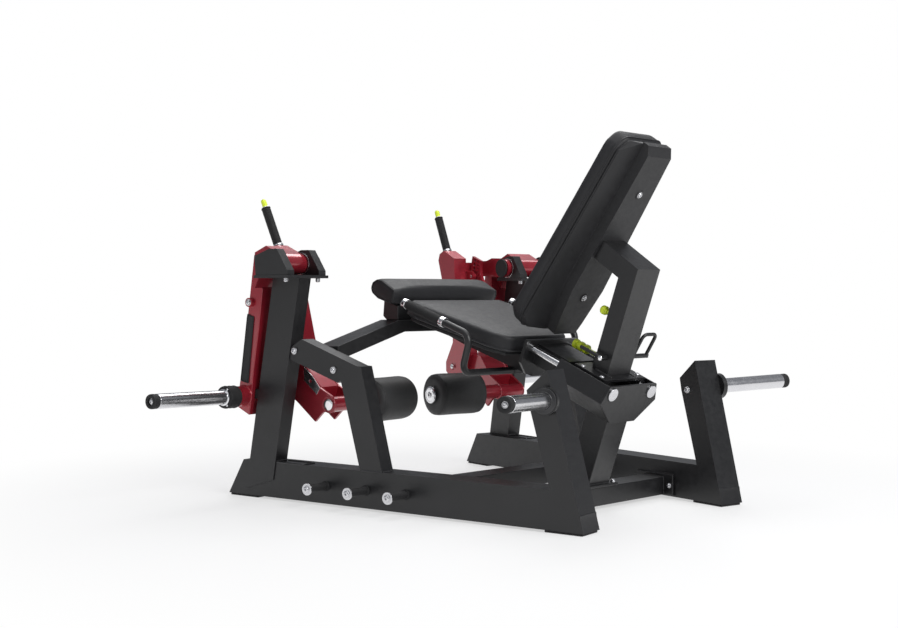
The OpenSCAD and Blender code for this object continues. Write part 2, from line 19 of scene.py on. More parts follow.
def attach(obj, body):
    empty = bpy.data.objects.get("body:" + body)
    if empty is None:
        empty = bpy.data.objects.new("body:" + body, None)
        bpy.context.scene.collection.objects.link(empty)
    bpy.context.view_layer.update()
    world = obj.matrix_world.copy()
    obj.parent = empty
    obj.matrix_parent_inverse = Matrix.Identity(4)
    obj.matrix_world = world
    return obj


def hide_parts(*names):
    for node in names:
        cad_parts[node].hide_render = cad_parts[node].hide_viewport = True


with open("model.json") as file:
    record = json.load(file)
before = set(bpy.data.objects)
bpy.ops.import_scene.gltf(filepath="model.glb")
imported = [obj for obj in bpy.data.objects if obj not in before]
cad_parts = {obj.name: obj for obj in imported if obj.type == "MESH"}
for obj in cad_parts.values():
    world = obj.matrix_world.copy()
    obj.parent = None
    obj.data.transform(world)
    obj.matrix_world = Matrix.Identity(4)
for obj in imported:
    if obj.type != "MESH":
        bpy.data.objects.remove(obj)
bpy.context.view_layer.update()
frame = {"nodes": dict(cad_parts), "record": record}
random.seed(7)
rng = np.random.default_rng(7)
scene = bpy.context.scene

# ------------------------------------------------------------------ frames
ORIGIN_Y = -.226                        # CAD origin in the row frame
SPLAY = math.radians(9.6)
SIDES = ((1, "left"), (-1, "right"))

# (along, z) centres on a side frame, millimetres
PIVOT = (-270, 825)
ROLLER_AXIS = (-177, 333)
SLEEVE_AXIS = (-461, 359)
PEG_ALONG = (-98, 76, 242)
PEG_Z = 68


def turned(degrees, axis):
    return Matrix.Rotation(math.radians(degrees), 4, axis)


def shifted(x, y, z):
    return Matrix.Translation((x, y, z))


PLACE = shifted(0, ORIGIN_Y, 0)
INCLINE = PLACE @ shifted(0, .841, .397) @ turned(-22.3, "X")
SEAT = PLACE @ shifted(0, .036, .701) @ turned(-17.3, "X")
BACK = PLACE @ shifted(0, .430, .647) @ turned(-34.6, "X")
BACK_FACE = BACK @ turned(90, "X")      # x stays, y runs up the pad, z points forwards


def mirrored_place(side):
    """row frame for the left (1), mirrored in x for the right (-1)"""
    return PLACE @ (Matrix.Scale(-1, 4, (1, 0, 0)) if side < 0 else Matrix.Identity(4))


def side_frame(side):
    """side frame axes (out, along, z) to the row frame"""
    return mirrored_place(side) @ Matrix.Rotation(SPLAY, 4, "Z")


def axis_frame(origin, axis):
    """frame at origin whose z runs along axis"""
    z = Vector(axis).normalized()
    x = Vector((0, 0, 1)) if abs(z.z) < .9 else Vector((1, 0, 0))
    x = (x - z * x.dot(z)).normalized()
    place = Matrix((x, z.cross(x), z)).transposed().to_4x4()
    place.translation = Vector(origin)
    return place


def axis_of(place, index):
    return tuple(place.to_3x3().col[index])


def at_mm(place, x, y, z):
    return place @ Vector((x / 1000, y / 1000, z / 1000))


def side_line(side, out, stations):
    """points at one distance out, through (along, z) stations"""
    return [at_mm(side_frame(side), out, along, z) for along, z in stations]


def side_axis(side, out, along, z, facing=1):
    """frame whose z points out (1) or in (-1)"""
    origin = (out / 1000, along / 1000, z / 1000)
    return side_frame(side) @ axis_frame(origin, (facing, 0, 0))


def sleeve_frame(side):
    return (side_frame(side) @ shifted(.648, -.461, .359)
            @ turned(-1.2, "Y") @ turned(90, "Y"))


def storage_frame(side):
    return (side_frame(side) @ shifted(.586, .775, .398)
            @ turned(9, "Z") @ turned(-2, "Y") @ turned(90, "Y"))


def lever_grip_frame(side):
    return side_frame(side) @ shifted(.361, -.517, .893) @ turned(24, "X")


# ------------------------------------------------------------------ shader nodes
class Nodes:
    """fills an emptied node tree; an input may be a value or a socket to link"""

    def __init__(self, owner):
        owner.use_nodes = True
        self.tree = owner.node_tree
        self.tree.nodes.clear()

    def add(self, kind, inputs, **properties):
        node = self.tree.nodes.new("ShaderNode" + kind)
        for key, value in properties.items():
            setattr(node, key, value)
        for key, value in inputs.items():
            if isinstance(value, bpy.types.NodeSocket):
                self.tree.links.new(value, node.inputs[key])
            else:
                node.inputs[key].default_value = value
        return node.outputs

    def noise(self, vector, scale, detail, **more):
        inputs = {"Vector": vector, "Scale": scale, "Detail": detail, **more}
        return self.add("TexNoise", inputs)[0]

    def math(self, operation, first, second, clamp=False):
        return self.add("Math", {0: first, 1: second}, operation=operation, use_clamp=clamp)[0]

    def remap(self, value, from_min=0, from_max=1, to_min=0, to_max=1, **properties):
        inputs = {0: value, 1: from_min, 2: from_max, 3: to_min, 4: to_max}
        return self.add("MapRange", inputs, **properties)[0]

    def mix_colour(self, factor, first, second, blend="MIX"):
        return self.add("MixRGB", {0: factor, 1: first, 2: second}, blend_type=blend)[0]

    def bump(self, height, strength, distance, **more):
        inputs = {"Height": height, "Strength": strength, "Distance": distance, **more}
        return self.add("Bump", inputs)[0]


# ------------------------------------------------------------------ materials
def drifting_colour(nodes, broad, fine, base, vary):
    """base colour swinging by the share vary"""
    ramp = nodes.add("ValToRGB", {0: nodes.math("MULTIPLY", broad, fine)})
    low, high = ramp[0].node.color_ramp.elements
    low.position, high.position = .12, .42
    low.color = (*[c * (1 - vary) for c in base], 1)
    high.color = (*[min(1, c * (1 + vary)) for c in base], 1)
    return ramp[0]


def dusted(nodes, coords, colour, dust):
    """faint settled dust on faces that look up"""
    normal = nodes.add("NewGeometry", {})["Normal"]
    upward = nodes.math("MAXIMUM", nodes.add("SeparateXYZ", {0: normal})[2], 0)
    facing = nodes.math("POWER", upward, 3)
    patches = nodes.remap(nodes.noise(coords, scale=24, detail=8),
                          from_min=.38, from_max=.75, to_max=dust)
    amount = nodes.math("MULTIPLY", facing, patches)
    return nodes.mix_colour(amount, colour, (.42, .40, .38, 1))


def scratched(nodes, coords, roughness, scratch):
    """thin slanting streaks that are rougher than the rest"""
    streaks = nodes.add("Mapping", {0: coords, "Scale": (14, 14, 420),
                                    "Rotation": (.7, .35, .4)})[0]
    lines = nodes.remap(nodes.noise(streaks, scale=1.6, detail=3),
                        from_min=.70, from_max=.76, to_max=scratch)
    return nodes.math("ADD", roughness, lines, clamp=True)


def flaked(nodes, coords, colour, flake):
    """small red flakes in the paint"""
    flecks = nodes.add("TexVoronoi", {"Vector": coords, "Scale": 2600})["Color"]
    tint = nodes.mix_colour(1, flecks, (.5, .05, .08, 1), blend="MULTIPLY")
    return nodes.mix_colour(flake, colour, tint, blend="ADD")


def material(name, base, rough, metal=0.0, coat=0.0, coat_rough=.08, grain=900.0, bump=.12,
             dist=.0002, vary=.25, rvary=.08, scratch=0, dust=0, flake=0, cells=None, spec=.5):
    """rough +- rvary: roughness; bump, dist: strength and depth of the surface grain;
    grain: scale of a noise grain, or cells: scale of a leather-like cell grain;
    vary, scratch, dust, flake: amounts; spec: specular level"""
    made = bpy.data.materials.new(name)
    nodes = Nodes(made)
    coords = nodes.add("TexCoord", {})["Object"]
    mapped = nodes.add("Mapping", {0: coords})[0]
    broad = nodes.noise(coords, scale=6.0, detail=5)
    fine = nodes.noise(mapped, scale=55.0, detail=6, Roughness=.65)
    colour = drifting_colour(nodes, broad, fine, base, vary)
    roughness = nodes.remap(fine, from_min=.3, from_max=.7,
                            to_min=max(.02, rough - rvary), to_max=min(1, rough + rvary))
    if dust > 0:
        colour = dusted(nodes, coords, colour, dust)
    if scratch > 0:
        roughness = scratched(nodes, coords, roughness, scratch)
    if flake > 0:
        colour = flaked(nodes, coords, colour, flake)
    if cells:
        edges = nodes.add("TexVoronoi", {"Vector": coords, "Scale": cells},
                          feature="DISTANCE_TO_EDGE")[0]
        relief = nodes.remap(edges, from_max=.22)
    else:
        relief = nodes.noise(mapped, scale=grain, detail=3)
    grained = nodes.bump(relief, strength=bump, distance=dist)
    normal = nodes.bump(fine, strength=.06, distance=.002, Normal=grained)
    surface = nodes.add("BsdfPrincipled", {
        "Base Color": colour, "Roughness": roughness, "Metallic": metal,
        "Specular IOR Level": spec, "Coat Weight": coat, "Coat Roughness": coat_rough,
        "Normal": normal})[0]
    nodes.add("OutputMaterial", {0: surface})
    return made


FINISHES = {
    "frame_paint": dict(base=(.0105, .0105, .0115), rough=.40, grain=1100, bump=.20, dist=.00025,
                        vary=.22, scratch=.08, dust=.018, coat=.10, coat_rough=.30),
    "arm_paint": dict(base=(.25, .006, .015), rough=.34, metal=.45, coat=.9, coat_rough=.08,
                      grain=500, bump=.05, dist=.0002, vary=.16, rvary=.06, flake=.35,
                      dust=.02, scratch=.08),
    "chrome": dict(base=(.80, .80, .82), rough=.12, metal=1, grain=700, bump=.03, dist=.0001,
                   vary=.03, rvary=.03, scratch=.05),
    "sleeve_steel": dict(base=(.70, .70, .72), rough=.24, metal=1, grain=260, bump=.05,
                         dist=.00010, vary=.04, rvary=.04, scratch=.08),
    "zinc": dict(base=(.68, .68, .70), rough=.26, metal=1, grain=900, bump=.08, dist=.0001,
                 vary=.08, rvary=.07, scratch=.15),
    "rubber": dict(base=(.0150, .0150, .0158), rough=.66, grain=1400, bump=.25, dist=.0002,
                   vary=.25, dust=.05, spec=.35),
    "upholstery": dict(base=(.0185, .0185, .0205), rough=.50, bump=.30, dist=.00028, vary=.22,
                       rvary=.06, cells=620, dust=.01, spec=.36),
    "foam": dict(base=(.036, .036, .037), rough=.55, bump=.22, dist=.0003, vary=.25, cells=900,
                 dust=.03, spec=.4),
    "shell_plastic": dict(base=(.0165, .0165, .018), rough=.52, bump=.25, dist=.0002, vary=.2,
                          cells=1100, dust=.03, scratch=.1, spec=.4),
    "lime_plastic": dict(base=(.70, .84, .035), rough=.34, grain=700, bump=.06, dist=.0002,
                         vary=.12, coat=.4, coat_rough=.15),
    "thread": dict(base=(.055, .055, .06), rough=.7, grain=2000, bump=.4, dist=.0002, vary=.3),
    "weld": dict(base=(.026, .026, .028), rough=.38, grain=420, bump=.25, dist=.0004, vary=.3,
                 coat=.15, coat_rough=.3),
    "weld_red": dict(base=(.26, .007, .018), rough=.36, metal=.4, coat=.8, coat_rough=.12,
                     grain=420, bump=.2, dist=.0004, vary=.2, flake=.3),
    # painted shade: near-black finish for the discs that stand for the shell's holes
    "painted_hole_shade": dict(base=(.008, .008, .008), rough=.8, grain=600, bump=.1, dist=.0002, vary=.3),
}
MATERIALS = {name: material(name, **look) for name, look in FINISHES.items()}


def set_finish(obj, finish):
    obj.data.materials.clear()
    obj.data.materials.append(MATERIALS[finish])


# ------------------------------------------------------------------ CAD pieces
BEVEL_WIDTH = {"frame_paint": .0030, "arm_paint": .0026, "chrome": .0012,
               "sleeve_steel": .0015, "zinc": .0012, "rubber": .0022, "upholstery": .006,
               "foam": .004, "shell_plastic": .005, "lime_plastic": .0014}


def soften_cad(obj, slot):
    """gives a CAD piece its material and soft edges"""
    mesh = obj.data
    mesh.materials.clear()
    mesh.materials.append(MATERIALS[slot])
    for name in ("custom_normal", "sharp_edge", "sharp_face"):
        attribute = mesh.attributes.get(name)
        if attribute is not None:
            mesh.attributes.remove(attribute)
    mesh.polygons.foreach_set("use_smooth", [True] * len(mesh.polygons))
    weld = obj.modifiers.new("weld", "WELD")
    weld.merge_threshold = 1e-5
    planar = obj.modifiers.new("planar", "DECIMATE")
    planar.decimate_type = "DISSOLVE"
    planar.angle_limit = math.radians(.6)
    bevel = obj.modifiers.new("bevel", "BEVEL")
    bevel.width = BEVEL_WIDTH[slot]
    bevel.segments = 3
    bevel.limit_method = "ANGLE"
    bevel.angle_limit = math.radians(26)
    bevel.harden_normals = True
    bevel.miter_outer = "MITER_ARC"
    bevel.use_clamp_overlap = True


slot_of = {piece["node"]: piece["material_slot"] for piece in frame["record"]["subparts"]}
for node_name, cad_piece in frame["nodes"].items():
    soften_cad(cad_piece, slot_of[node_name])


# ------------------------------------------------------------------ shapes
def bridge(first, second):
    """quads between two rings of vertex indices"""
    count = len(first)
    return [(first[i], first[(i + 1) % count], second[(i + 1) % count], second[i])
            for i in range(count)]


def lathe(profile, seg):
    """turns (radius, height) stations; a profile that starts off the axis is a closed ring"""
    verts, faces, rings = [], [], []
    for radius, height in profile:
        if radius < 1e-7:
            rings.append([len(verts)])
            verts.append((0, 0, height))
            continue
        rings.append(list(range(len(verts), len(verts) + seg)))
        for i in range(seg):
            angle = 2 * math.pi * i / seg
            verts.append((radius * math.cos(angle), radius * math.sin(angle), height))
    pairs = list(zip(rings[:-1], rings[1:]))
    if len(rings[0]) > 1:
        pairs.append((rings[-1], rings[0]))
    for low, high in pairs:
        if len(low) == 1 and len(high) == 1:
            continue
        if len(low) == 1:
            faces += [(low[0], high[i], high[(i + 1) % seg]) for i in range(seg)]
        elif len(high) == 1:
            faces += [(low[i], low[(i + 1) % seg], high[0]) for i in range(seg)]
        else:
            faces += bridge(low, high)
    return verts, faces


def socket_screw(radius, height, socket, seg):
    """button head on a washer, with a hexagon socket; the washer's flat face is at z = 0"""
    profile = [(radius * 1.25, 0), (radius * 1.25, .0012), (radius * 1.2, .0016),
               (radius, .0016), (radius, height * .45), (radius * .93, height * .72),
               (radius * .75, height * .93), (socket * 1.25, height)]
    angles = [2 * math.pi * i / seg for i in range(seg)]
    verts = [(r * math.cos(a), r * math.sin(a), z) for r, z in profile for a in angles]
    for z in (height, height * .35):
        for angle in angles:
            off_flat = (angle + math.pi / 6) % (math.pi / 3) - math.pi / 6
            reach = socket / math.cos(off_flat) * math.cos(math.pi / 6) * 1.08
            verts.append((reach * math.cos(angle), reach * math.sin(angle), z))
    rings = [list(range(start, start + seg)) for start in range(0, len(verts), seg)]
    floor_centre, base_centre = len(verts), len(verts) + 1
    verts += [(0, 0, height * .28), (0, 0, 0)]
    faces = []
    for low, high in zip(rings[:-1], rings[1:]):
        faces += bridge(low, high)
    for i in range(seg):
        j = (i + 1) % seg
        faces.append((rings[-1][i], rings[-1][j], floor_centre))
        faces.append((rings[0][j], rings[0][i], base_centre))
    return verts, faces


def tube(points, radius, seg=8, closed=False, ripple=0.0, pitch=.0052, squash=1.0,
         up=(0, 0, 1)):
    """a round bead along a line, with optional weld ripples"""
    corners = [Vector(p) for p in points]
    if closed:
        corners.append(corners[0].copy())
    path = []
    for start, end in zip(corners[:-1], corners[1:]):
        steps = max(1, int((end - start).length / (pitch / 4))) if ripple else 1
        path += [start.lerp(end, i / steps) for i in range(steps)]
    if not closed:
        path.append(corners[-1])
    up = Vector(up)
    count = len(path)
    verts, faces = [], []
    travelled = 0.0
    for i, here in enumerate(path):
        after = path[(i + 1) % count] if (closed or i < count - 1) else here
        before = path[i - 1] if (closed or i > 0) else here
        chord = after - before
        heading = chord.normalized() if chord.length > 1e-9 else Vector((0, 0, 1))
        guide = up if abs(heading.dot(up)) < .95 else Vector((1, 0, 0))
        x = (guide - heading * guide.dot(heading)).normalized()
        y = heading.cross(x)
        swell = ripple * (abs(math.sin(math.pi * travelled / pitch)) - .5)
        local = radius * (1 + swell + (rng.uniform(-.06, .06) if ripple else 0))
        if not closed and i in (0, count - 1):
            local *= .55
        for k in range(seg):
            a = 2 * math.pi * k / seg
            verts.append(here + x * local * math.cos(a) + y * local * math.sin(a) * squash)
        travelled += (after - here).length
    rings = [list(range(i * seg, (i + 1) * seg)) for i in range(count)]
    for i in range(count if closed else count - 1):
        faces += bridge(rings[i], rings[(i + 1) % count])
    if not closed:
        faces.append(tuple(rings[0][::-1]))
        faces.append(tuple(rings[-1]))
    return verts, faces


def rounded_box(size, radius):
    shape = bmesh.new()
    bmesh.ops.create_cube(shape, size=1)
    for vert in shape.verts:
        vert.co = Vector([c * s for c, s in zip(vert.co, size)])
    bmesh.ops.bevel(shape, geom=shape.edges[:], offset=radius, segments=2, profile=.5,
                    affect="EDGES")
    shape.verts.ensure_lookup_table()
    verts = [vert.co.copy() for vert in shape.verts]
    faces = [tuple(vert.index for vert in face.verts) for face in shape.faces]
    shape.free()
    return verts, faces


def placed(place, shape):
    verts, faces = shape
    return [place @ Vector(v) for v in verts], faces


def new_object(name, verts, faces, finish, body, angle=32):
    """angle: edges sharper than this many degrees stay hard"""
    mesh = bpy.data.meshes.new(name)
    mesh.from_pydata([tuple(v) for v in verts], [], faces)
    mesh.validate()
    shape = bmesh.new()
    shape.from_mesh(mesh)
    bmesh.ops.recalc_face_normals(shape, faces=shape.faces)
    shape.to_mesh(mesh)
    shape.free()
    obj = bpy.data.objects.new(name, mesh)
    scene.collection.objects.link(obj)
    mesh.polygons.foreach_set("use_smooth", [True] * len(mesh.polygons))
    mesh.set_sharp_from_angle(angle=math.radians(angle))
    set_finish(obj, finish)
    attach(obj, body)
    return obj


class Batch:
    """closed shapes that share a body and a finish"""

    def __init__(self):
        self.verts, self.faces = [], []

    def add(self, verts, faces):
        first = len(self.verts)
        self.verts += [tuple(v) for v in verts]
        self.faces += [tuple(i + first for i in face) for face in faces]

    def turn(self, place, profile, seg):
        self.add(*placed(place, lathe(profile, seg)))

    def ribs(self, place, heights, half, seg):
        """rings mirrored about each height; half: (radius, distance from that height)"""
        for h in heights:
            profile = [(r, h - d) for r, d in half] + [(r, h + d) for r, d in half[::-1] if d]
            self.turn(place, profile, seg)

    def tube(self, points, radius, **options):
        self.add(*tube(points, radius, **options))

    def bead(self, points, radius=.0031):
        self.tube(points, radius, ripple=.20, squash=.8)

    def bead_ring(self, side, out, centre, ring_mm, radius, count=60, pitch=.0052):
        """weld bead round an (along, z) centre in the side frame's plane"""
        along, z = centre
        stations = [(along + ring_mm * math.cos(a), z + ring_mm * math.sin(a))
                    for a in circle_angles(count)]
        self.tube(side_line(side, out, stations), radius, closed=True, ripple=.2,
                  pitch=pitch, up=axis_of(side_frame(side), 0))

    def screw(self, place, radius, height, socket, seg=36):
        self.add(*placed(place, socket_screw(radius, height, socket, seg)))

    def side_screw(self, side, out, along, z, size, height=None, facing=1):
        self.screw(side_axis(side, out, along, z, facing), radius=size * .76,
                   height=height or size * .55, socket=size * .34)


@contextmanager
def part(name, finish, body):
    """collects shapes inside the with block, then builds them as one object"""
    batch = Batch()
    yield batch
    new_object(name, batch.verts, batch.faces, finish, body)


def circle_angles(count):
    return np.linspace(0, 2 * math.pi, count + 1)[:-1]


# ------------------------------------------------------------------ outlines
def fillet(corners, seg):
    """closed outline of (x, y, radius) corners, rounded"""
    rounded, count = [], len(corners)
    for i, (x, y, radius) in enumerate(corners):
        corner = Vector((x, y))
        back = Vector(corners[i - 1][:2]) - corner
        ahead = Vector(corners[(i + 1) % count][:2]) - corner
        half = back.angle(ahead) / 2
        reach = min(radius / math.tan(half), back.length * .48, ahead.length * .48)
        radius = reach * math.tan(half)
        back, ahead = back.normalized(), ahead.normalized()
        centre = corner + (back + ahead).normalized() * (radius / math.sin(half))
        first = corner + back * reach - centre
        last = corner + ahead * reach - centre
        start = math.atan2(first.y, first.x)
        sweep = math.atan2(last.y, last.x) - start
        while sweep > math.pi:
            sweep -= 2 * math.pi
        while sweep < -math.pi:
            sweep += 2 * math.pi
        rounded += [(centre.x + radius * math.cos(start + sweep * k / seg),
                     centre.y + radius * math.sin(start + sweep * k / seg))
                    for k in range(seg + 1)]
    return rounded


def symmetric_outline(half):
    """rounded outline from the +x half's (x, y, radius) corners, bottom to top"""
    mirror = [(-x, y, radius) for x, y, radius in half]
    return fillet([mirror[0]] + half + mirror[:0:-1], 6)


def outline_distance(points, outline):
    starts = np.array(outline)
    best = np.full(len(points), 1e9)
    for start, end in zip(starts, np.roll(starts, -1, 0)):
        edge = end - start
        share = np.clip(((points - start) @ edge) / ((edge ** 2).sum() + 1e-12), 0, 1)
        gap = np.linalg.norm(points - (start + share[:, None] * edge), axis=1)
        best = np.minimum(best, gap)
    return best


def inset(outline, distance):
    corners = [Vector(p) for p in outline]
    count, moved = len(corners), []
    area = sum(corners[i - 1].x * corners[i].y - corners[i].x * corners[i - 1].y
               for i in range(count))
    turn = 1 if area > 0 else -1
    for i, corner in enumerate(corners):
        before = corner - corners[i - 1]
        after = corners[(i + 1) % count] - corner
        if before.length < 1e-7:
            before = after
        if after.length < 1e-7:
            after = before
        normal = (Vector((-before.y, before.x)).normalized() * turn
                  + Vector((-after.y, after.x)).normalized() * turn)
        normal = normal / max(.3, normal.length_squared / 2)
        moved.append((corner.x + normal.x * distance, corner.y + normal.y * distance))
    return moved


# ------------------------------------------------------------------ soft goods
def bake_modifiers(obj):
    graph = bpy.context.evaluated_depsgraph_get()
    mesh = bpy.data.meshes.new_from_object(obj.evaluated_get(graph))
    obj.modifiers.clear()
    obj.data = mesh


def mesh_points(mesh):
    return np.array([vert.co for vert in mesh.vertices], float)


def set_points(obj, points):
    obj.data.vertices.foreach_set("co", points.ravel())
    obj.data.update()


def voxel_block(name, mesh_name, face, axis, far, edge, edge_segments, voxel):
    """face extruded to co[axis] = far, its two rims rounded, remeshed to even voxels"""
    shape = bmesh.new()
    front = shape.faces.new([shape.verts.new(p) for p in face])
    grown = bmesh.ops.extrude_face_region(shape, geom=[front])
    for item in grown["geom"]:
        if isinstance(item, bmesh.types.BMVert):
            item.co[axis] = far
    bmesh.ops.recalc_face_normals(shape, faces=shape.faces)
    rim = [e for e in shape.edges if abs(e.verts[0].co[axis] - e.verts[1].co[axis]) < 1e-6]
    bmesh.ops.bevel(shape, geom=rim, offset=edge, segments=edge_segments, profile=.5,
                    affect="EDGES")
    mesh = bpy.data.meshes.new(mesh_name)
    shape.to_mesh(mesh)
    shape.free()
    obj = bpy.data.objects.new(name, mesh)
    scene.collection.objects.link(obj)
    remesh = obj.modifiers.new("remesh", "REMESH")
    remesh.mode = "VOXEL"
    remesh.voxel_size = voxel
    bake_modifiers(obj)
    return obj


def inflate(obj, points, pinned, frames, bulge, **cloth_settings):
    """blows the skin up with a cloth run between pinned points, moving at most bulge"""
    set_points(obj, points)
    group = obj.vertex_groups.new(name="pin")
    group.add(np.where(pinned)[0].tolist(), 1.0, "REPLACE")
    cloth = obj.modifiers.new("cloth", "CLOTH")
    settings = dict(quality=5, mass=.35, compression_stiffness=12, bending_stiffness=.8,
                    use_pressure=True, uniform_pressure_force=4, vertex_group_mass="pin")
    for key, value in {**settings, **cloth_settings}.items():
        setattr(cloth.settings, key, value)
    cloth.settings.effector_weights.gravity = 0
    cloth.collision_settings.use_collision = False
    cloth.point_cache.frame_start = 1
    cloth.point_cache.frame_end = frames
    for number in range(1, frames + 1):
        scene.frame_set(number)
    graph = bpy.context.evaluated_depsgraph_get()
    blown = mesh_points(obj.evaluated_get(graph).to_mesh())
    obj.modifiers.clear()
    scene.frame_set(1)
    shift = blown - points
    length = np.linalg.norm(shift, axis=1)
    shift *= (np.minimum(length, bulge) / np.maximum(length, 1e-9))[:, None]
    set_points(obj, points + shift)


def finish_skin(obj, place, body, node):
    """evens and refines the skin, sets it in place and swaps it for its CAD node"""
    smooth = obj.modifiers.new("smooth", "SMOOTH")
    smooth.factor = .5
    smooth.iterations = 2
    refine = obj.modifiers.new("refine", "SUBSURF")
    refine.levels = refine.render_levels = 1
    bake_modifiers(obj)
    obj.data.transform(place)
    obj.data.polygons.foreach_set("use_smooth", [True] * len(obj.data.polygons))
    obj.vertex_groups.clear()
    set_finish(obj, "upholstery")
    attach(obj, body)
    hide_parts(node)


def seam_stitches(name, body, place, outline):
    """short threads lying in the seam crease"""
    pitch = .0072
    # (distance along the stitch, height)
    stitch = [(-.0024, -.0030), (-.0012, -.0016), (.0012, -.0016), (.0024, -.0030)]
    corners = [Vector((x, y, 0)) for x, y in outline]
    travelled = 0
    with part(name, "thread", body) as threads:
        for start, end in zip(corners, corners[1:] + corners[:1]):
            length = (end - start).length
            heading = (end - start).normalized()
            while travelled <= length:
                middle = start.lerp(end, travelled / max(length, 1e-9))
                spots = [(middle + heading * along, z) for along, z in stitch]
                threads.tube([place @ Vector((spot.x, spot.y, z)) for spot, z in spots],
                             .00075, seg=6)
                travelled += pitch
            travelled -= length


def soft_pad(name, node, body, place, outline, thick, edge, seam_in, bulge):
    """upholstered pad: face at z = 0 of place, base at -thick, a seam seam_in from its edge"""
    voxel = .0068
    seam_depth = .0026
    obj = voxel_block(name, name, face=[(x, y, 0) for x, y in outline], axis=2, far=-thick,
                      edge=edge, edge_segments=5, voxel=voxel)
    points = mesh_points(obj.data)
    top = points[:, 2] > -edge * .8
    low = points[:, 2] < -thick + edge * .9
    off_seam = np.abs(outline_distance(points[:, :2], outline) - seam_in)
    seam = top & (off_seam < voxel * .62)
    points[seam, 2] -= seam_depth
    inflate(obj, points, pinned=seam | low, frames=18, bulge=bulge, tension_stiffness=18,
            shear_stiffness=8, tension_damping=10, compression_damping=10)
    finish_skin(obj, place, body, node)
    seam_stitches(name + "_stitches", body, place, inset(outline, seam_in))
    with part(name + "_welt", "upholstery", body) as welt:
        z = -thick + edge * .75
        welt.tube([place @ Vector((x, y, z)) for x, y in inset(outline, .001)], .0028,
                  closed=True)


def bolster():
    """thigh roll across the front of the seat, sewn along its end seams"""
    # section corners (y, z, radius)
    section = fillet([(-.115, .765, .020), (-.125, .742, .025), (-.118, .722, .020),
                      (-.086, .7004, .018), (-.009, .679, .012), (.006, .715, .012),
                      (.008, .734, .016), (-.060, .771, .020), (-.087, .777, .025)], 5)
    half_width = .268
    middle_y, middle_z = -.058, .727
    seam_depth = .0022
    place = PLACE @ shifted(0, -.012, 0)
    obj = voxel_block("thigh_roll", "bolster", face=[(-half_width, y, z) for y, z in section],
                      axis=0, far=half_width, edge=.010, edge_segments=4, voxel=.0062)
    points = mesh_points(obj.data)
    seam = np.abs(np.abs(points[:, 0]) - (half_width - .011)) < .0042
    from_y = points[:, 1] - middle_y
    from_z = points[:, 2] - middle_z
    reach = np.hypot(from_y, from_z) + 1e-9
    points[seam, 1] -= (from_y / reach * seam_depth)[seam]
    points[seam, 2] -= (from_z / reach * seam_depth)[seam]
    # the sloping underside
    low = points[:, 2] < .700 - (points[:, 1] + .086) * .278 + .005
    inflate(obj, points, pinned=seam | low, frames=16, bulge=.007, tension_stiffness=20)
    finish_skin(obj, place, "frame", "thigh_bolster")
    with part("thigh_roll_piping", "upholstery", "frame") as piping:
        for sign in (-1, 1):
            x = sign * (half_width - .0015)
            piping.tube([place @ Vector((x, y, z)) for y, z in inset(section, .006)], .0026,
                        closed=True, up=(1, 0, 0))


def foam_roller(side, hand):
    length, shoulder = .210, .024
    body = f"{hand}_foam_roller"
    place = side_axis(side, 50, *ROLLER_AXIS)
    # (radius, height) of one end, from the bore to the barrel
    end = [(.0125, .0015), (.030, .0015), (.034, .0), (.058, .0), (.068, .0022),
           (.0745, .0075), (.0785, .015), (.080, shoulder)]
    barrel = [(.0803 - .0006 * math.sin(math.pi * k / 10) ** 2,
               shoulder + (length - 2 * shoulder) * k / 10) for k in range(1, 10)]
    profile = end + barrel + [(radius, length - h) for radius, h in end[::-1]]
    verts, faces = placed(place, lathe(profile, 72))
    obj = new_object(f"{hand}_roller_foam", verts, faces, "foam", body, angle=50)
    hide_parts(f"{hand}_roller")
    with part(f"{hand}_roller_seams", "foam", body) as seams:
        for h in (.0105, .1995):
            ring = [place @ Vector((.0768 * math.cos(a), .0768 * math.sin(a), h))
                    for a in circle_angles(72)]
            seams.tube(ring, .0013, closed=True, up=axis_of(place, 2))


# outline corners of the +x half (x, y, radius)
SEAT_HALF = [(.241, -.002, .022), (.243, .060, .06), (.184, .372, .10), (.152, .430, .05)]
BACK_HALF = [(.123, -.003, .03), (.1635, .044, .04), (.1235, .689, .05), (.093, .731, .035)]
SHELL_HALF = [(.118, .003, .03), (.158, .046, .04), (.118, .687, .05), (.089, .725, .035)]

soft_pad("seat_cushion", "seat_pad", "frame", SEAT, symmetric_outline(SEAT_HALF),
         thick=.060, edge=.013, seam_in=.020, bulge=.008)
soft_pad("back_cushion", "backrest_pad", "backrest", BACK_FACE, symmetric_outline(BACK_HALF),
         thick=.062, edge=.015, seam_in=.022, bulge=.009)
bolster()
for side, hand in SIDES:
    foam_roller(side, hand)


# ------------------------------------------------------------------ side frames and arms
POST_OUTER, POST_INNER = 586, 526       # faces of the posts, distance out


def frame_screws(side, hand):
    with part(f"{hand}_frame_screws", "zinc", "frame") as screws:
        for along, z in ((-236, 523), (-61, 463)):
            screws.side_screw(side, 592, along, z, size=.0115)
        for out in (.501, .664):
            place = side_frame(side) @ shifted(out, -.205, .764) @ turned(180, "X")
            screws.screw(place, radius=.0065, height=.004, socket=.003)
        for along in PEG_ALONG:
            screws.side_screw(side, 683, along, PEG_Z, size=.0145, height=.006)
        screws.side_screw(side, 479, 745, 388, size=.0115, facing=-1)
        for along in (17, 173, 512, 668):
            screws.side_screw(side, 469, along, 48, size=.0085, facing=-1)


